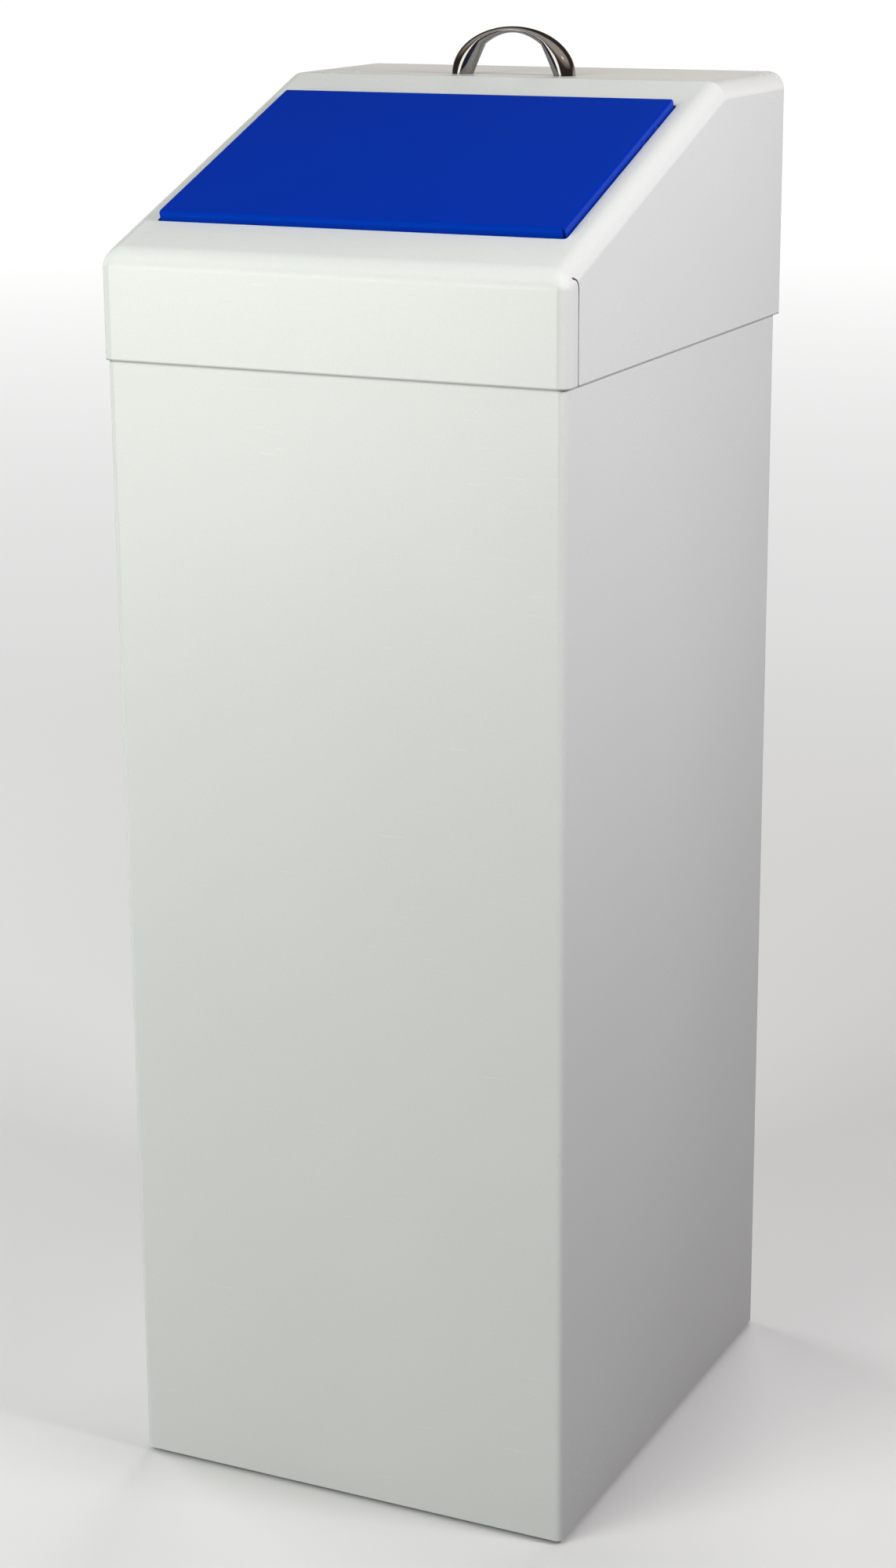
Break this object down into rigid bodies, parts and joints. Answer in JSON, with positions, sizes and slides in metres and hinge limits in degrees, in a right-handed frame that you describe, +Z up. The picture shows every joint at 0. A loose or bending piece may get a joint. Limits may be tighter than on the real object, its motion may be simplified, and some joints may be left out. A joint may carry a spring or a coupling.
{
  "type": "book drop box",
  "caption": "Tall free-standing sheet-steel drop box with a lift-off hood, a balanced push flap in its sloping top, a bow handle and a lift-out inner bin.",
  "frame": {"origin": "middle of the footprint, on the floor", "axes": "+Z up, the front faces -Y, +X to the right as the front is seen"},
  "size_m": [0.272, 0.315, 0.817],
  "materials": {
    "white_coat": "semi-gloss powder coat, off-white, fine orange peel",
    "blue_coat": "semi-gloss powder coat, deep blue",
    "chrome": "polished",
    "galvanised": "galvanised, fine spangle",
    "zinc_steel": "bright zinc plate",
    "rubber": "matt black",
    "nylon": "natural nylon",
    "trim_plastic": "black edging"
  },
  "bodies": {
    "cabinet": {"cabinet_wrap": "white_coat", "cabinet_back": "white_coat", "base_pan": "white_coat", "foot_front_left": "rubber", "foot_front_right": "rubber", "foot_rear_left": "rubber", "foot_rear_right": "rubber", "foot_screws": "zinc_steel", "foot_nuts": "zinc_steel"},
    "inner_bin": {"bin_wrap": "galvanised", "bin_floor": "galvanised", "grip_trim_left": "trim_plastic", "grip_trim_right": "trim_plastic"},
    "hood": {"hood_shell": "white_coat", "hood_back": "white_coat", "seat_rail_left": "white_coat", "seat_rail_right": "white_coat", "hinge_bracket_left": "white_coat", "hinge_bracket_right": "white_coat", "hinge_bush_left": "nylon", "hinge_bush_right": "nylon", "handle": "chrome", "handle_screws": "zinc_steel", "handle_washers": "zinc_steel"},
    "flap": {"flap_panel": "blue_coat", "flap_rod": "zinc_steel", "rod_clips": "zinc_steel", "balance_arm_left": "galvanised", "balance_arm_right": "galvanised", "arm_rivets": "blue_coat", "balance_bar": "galvanised", "balance_bar_screws": "zinc_steel", "stop_buffer_left": "rubber", "stop_buffer_right": "rubber"}
  },
  "joints": [
    {"name": "inner_bin_lift", "type": "slide", "parent": "cabinet", "child": "inner_bin", "axis": [0, 0, 1], "range_m": [0, 0.7]},
    {"name": "hood_lift", "type": "slide", "parent": "inner_bin", "child": "hood", "axis": [0, 0, 1], "range_m": [0, 0.16]},
    {"name": "flap_hinge", "type": "hinge", "parent": "hood", "child": "flap", "pos_m": [0, 0.01911, 0.76638], "axis": [1, 0, 0], "range_deg": [0, 62]}
  ]
}
